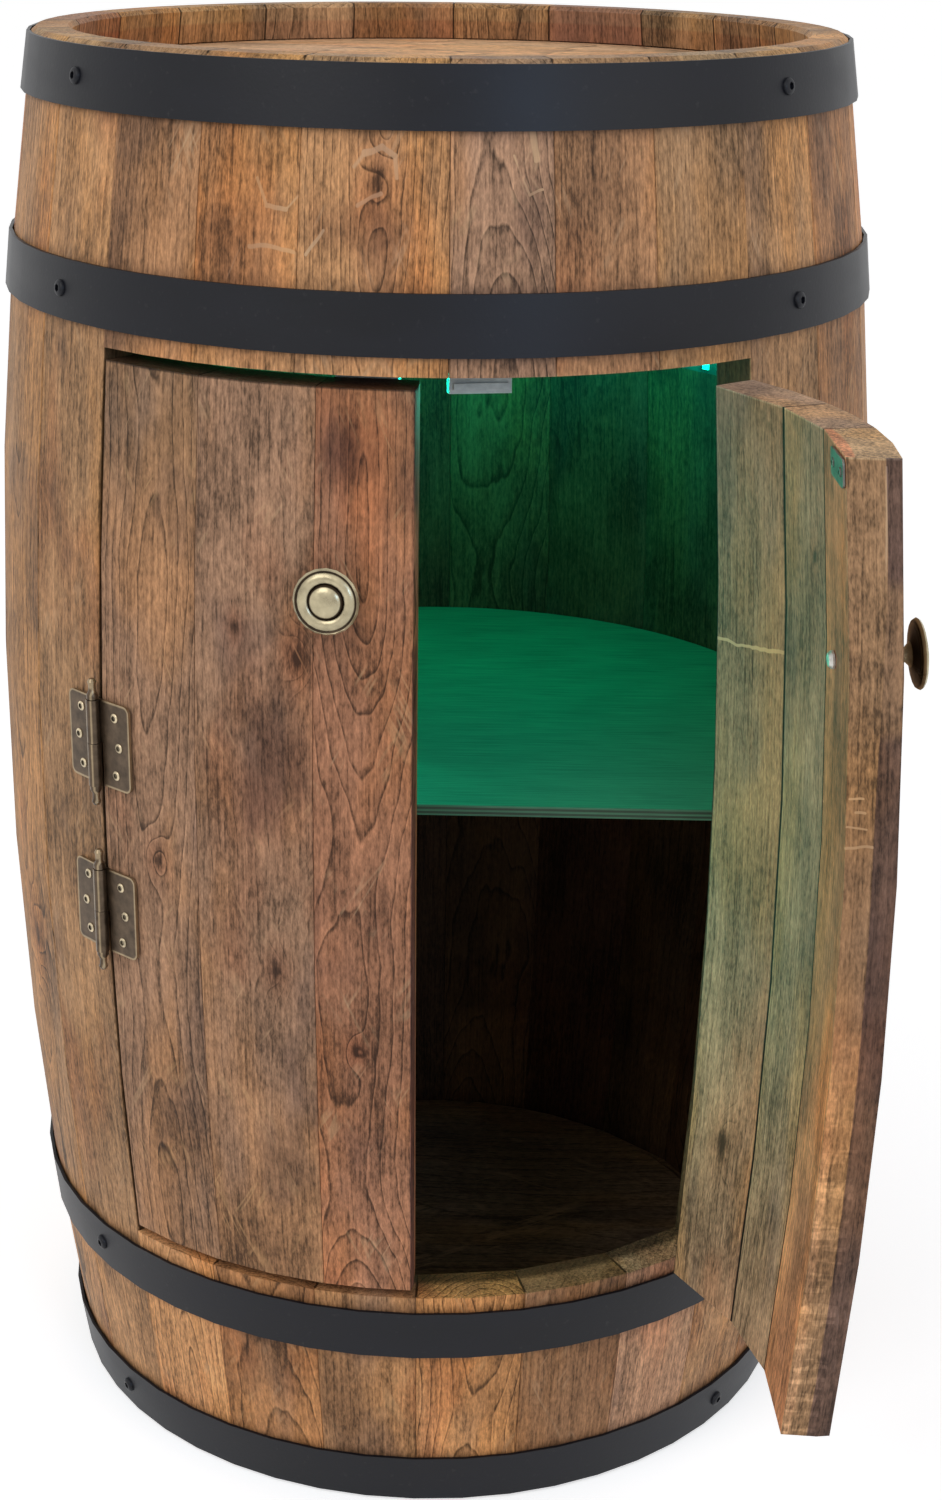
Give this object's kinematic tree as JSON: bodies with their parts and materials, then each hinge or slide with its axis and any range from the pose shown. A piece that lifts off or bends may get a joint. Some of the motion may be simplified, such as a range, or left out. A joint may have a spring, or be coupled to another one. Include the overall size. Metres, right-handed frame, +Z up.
{
  "type": "barrel bar cabinet",
  "caption": "Upright coopered barrel with steel hoops, two hinged stave doors, a recessed lid, one inner shelf and a light strip.",
  "frame": {"origin": "on the floor, on the axis of the barrel", "axes": "+Z up along the barrel's axis, doors towards -Y, +X to the right as seen from the front"},
  "size_m": [0.5043, 0.6173, 0.8],
  "materials": {
    "stave_wood": "brown stained pine, satin",
    "lid_wood": "brown stained board, satin",
    "shelf_board": "thin brown board, matt",
    "hoop_steel": "black paint, satin",
    "hinge_bronze": "dark antique bronze with bright worn edges",
    "knob_brass": "antique brass, satin, dark in the grooves",
    "bright_steel": "zinc plated",
    "catch_plastic": "milky plastic",
    "light_strip": "clear coated strip, lit green"
  },
  "bodies": {
    "cabinet": {"stave_1": "stave_wood", "stave_2": "stave_wood", "stave_3": "stave_wood", "stave_4": "stave_wood", "stave_5": "stave_wood", "stave_6": "stave_wood", "stave_7": "stave_wood", "stave_8": "stave_wood", "stave_9": "stave_wood", "stave_10": "stave_wood", "stave_11": "stave_wood", "stave_12": "stave_wood", "stave_13": "stave_wood", "stave_14": "stave_wood", "stave_15": "stave_wood", "stave_16": "stave_wood", "upper_stave_1": "stave_wood", "upper_stave_2": "stave_wood", "upper_stave_3": "stave_wood", "upper_stave_4": "stave_wood", "upper_stave_5": "stave_wood", "upper_stave_6": "stave_wood", "lower_stave_1": "stave_wood", "lower_stave_2": "stave_wood", "lower_stave_3": "stave_wood", "lower_stave_4": "stave_wood", "lower_stave_5": "stave_wood", "lower_stave_6": "stave_wood", "top_head": "lid_wood", "bottom_head": "stave_wood", "hoop_bottom": "hoop_steel", "hoop_lower": "hoop_steel", "hoop_upper": "hoop_steel", "hoop_top": "hoop_steel", "shelf": "shelf_board", "shelf_cleat_left": "stave_wood", "shelf_cleat_right": "stave_wood", "light_strip": "light_strip", "catch_left": "catch_plastic", "catch_right": "catch_plastic", "left_upper_frame_leaf": "hinge_bronze", "left_lower_frame_leaf": "hinge_bronze", "right_upper_frame_leaf": "hinge_bronze", "right_lower_frame_leaf": "hinge_bronze"},
    "left_door": {"left_door_stave_1": "stave_wood", "left_door_stave_2": "stave_wood", "left_door_stave_3": "stave_wood", "left_upper_door_leaf": "hinge_bronze", "left_lower_door_leaf": "hinge_bronze", "left_knob": "knob_brass", "left_knob_screw": "bright_steel", "left_strike": "bright_steel"},
    "right_door": {"right_door_stave_1": "stave_wood", "right_door_stave_2": "stave_wood", "right_door_stave_3": "stave_wood", "right_upper_door_leaf": "hinge_bronze", "right_lower_door_leaf": "hinge_bronze", "right_knob": "knob_brass", "right_knob_screw": "bright_steel", "right_strike": "bright_steel"}
  },
  "joints": [
    {"name": "left_door_hinge", "type": "hinge", "parent": "cabinet", "child": "left_door", "pos_m": [-0.17297, -0.18995, 0.4], "axis": [0, 0, -1], "range_deg": [0, 180]},
    {"name": "right_door_hinge", "type": "hinge", "parent": "cabinet", "child": "right_door", "pos_m": [0.17297, -0.18995, 0.4], "axis": [0, 0, 1], "range_deg": [-86, 94]}
  ]
}
